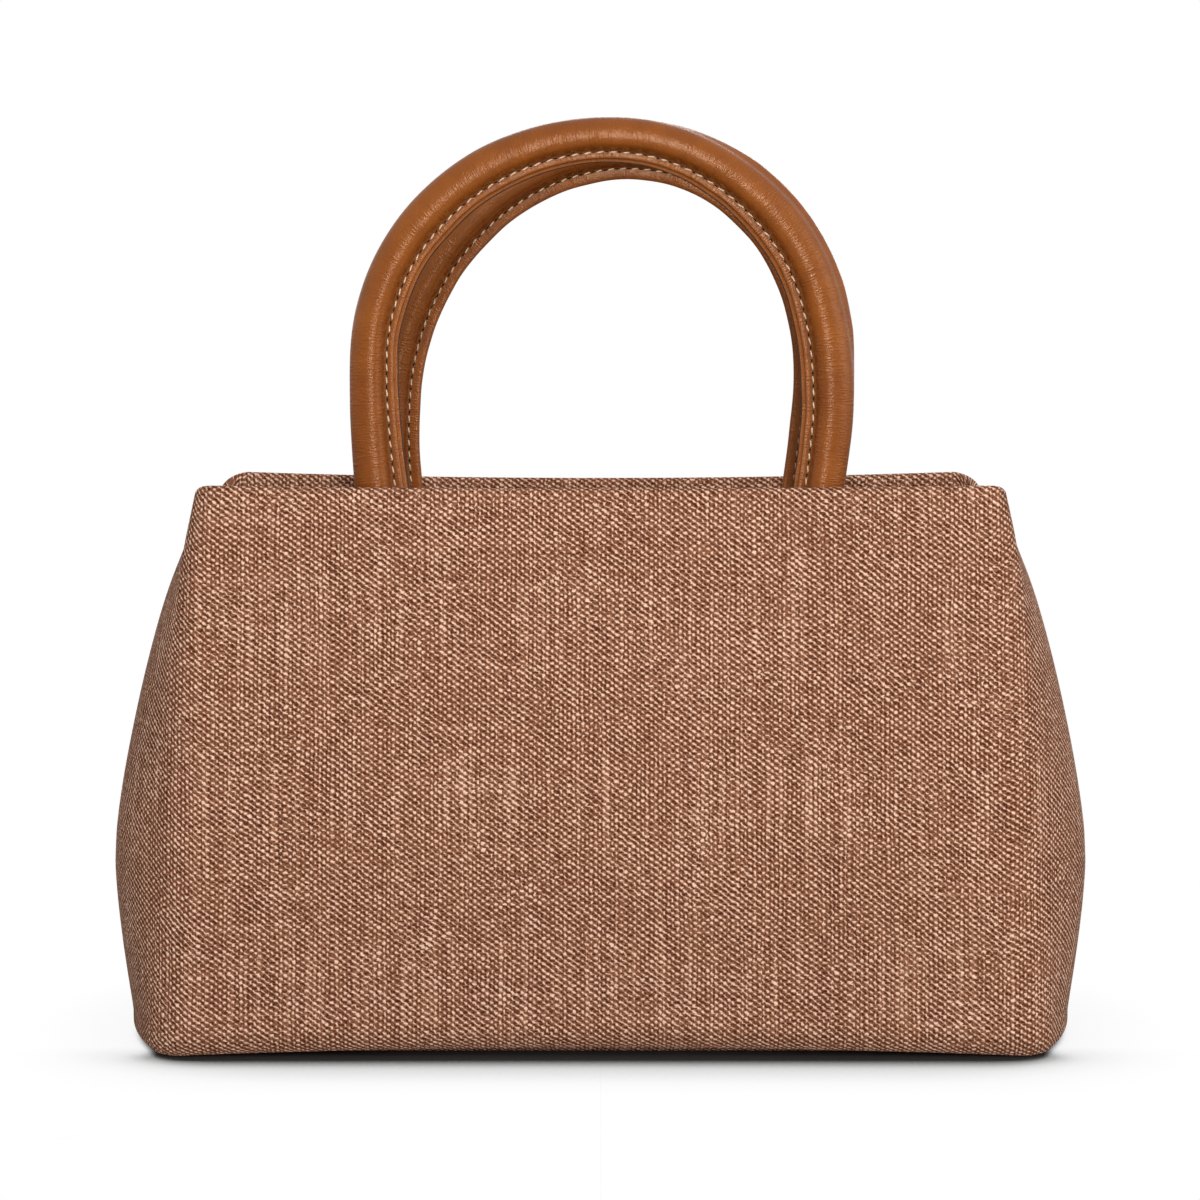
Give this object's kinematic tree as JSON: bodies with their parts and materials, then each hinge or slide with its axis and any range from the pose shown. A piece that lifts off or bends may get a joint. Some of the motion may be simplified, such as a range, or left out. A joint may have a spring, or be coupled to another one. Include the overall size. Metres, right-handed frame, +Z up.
{
  "type": "structured handbag",
  "caption": "Structured handbag of woven cloth over boards, open at the top, lined, with rolled leather handles that fall to either side.",
  "frame": {"origin": "centre of the overall box, on the surface that the bag stands on", "axes": "+Z up, front towards -Y, +X to the right seen from the front"},
  "size_m": [0.3384, 0.125, 0.3123],
  "materials": {
    "woven_cloth": "coarse two-tone weave, brown and pale pink-beige threads",
    "stiffener": "grey-brown bag board",
    "lining_cloth": "fine tan twill",
    "cognac_leather": "smooth cognac leather, soft sheen, pale running stitches",
    "cotton_core": "twisted cotton filler",
    "plated_steel": "pale gold plating"
  },
  "bodies": {
    "bag": {"front_panel": "woven_cloth", "rear_panel": "woven_cloth", "left_gusset": "woven_cloth", "right_gusset": "woven_cloth", "base_panel": "woven_cloth", "front_board": "stiffener", "rear_board": "stiffener", "left_gusset_board": "stiffener", "right_gusset_board": "stiffener", "base_board": "stiffener", "front_lining": "lining_cloth", "rear_lining": "lining_cloth", "left_lining": "lining_cloth", "right_lining": "lining_cloth", "base_lining": "lining_cloth", "slip_pocket": "lining_cloth", "front_left_tab": "cognac_leather", "front_right_tab": "cognac_leather", "rear_left_tab": "cognac_leather", "rear_right_tab": "cognac_leather", "snap_stud": "plated_steel", "snap_socket": "plated_steel", "stud_washer": "plated_steel", "socket_washer": "plated_steel"},
    "front_handle": {"front_handle_leather": "cognac_leather", "front_handle_core": "cotton_core"},
    "rear_handle": {"rear_handle_leather": "cognac_leather", "rear_handle_core": "cotton_core"}
  },
  "joints": [
    {"name": "front_handle_hinge", "type": "hinge", "parent": "bag", "child": "front_handle", "pos_m": [0, -0.03265, 0.194], "axis": [1, 0, 0], "range_deg": [-10, 65]},
    {"name": "rear_handle_hinge", "type": "hinge", "parent": "bag", "child": "rear_handle", "pos_m": [0, 0.03265, 0.194], "axis": [-1, 0, 0], "range_deg": [-10, 65]}
  ]
}
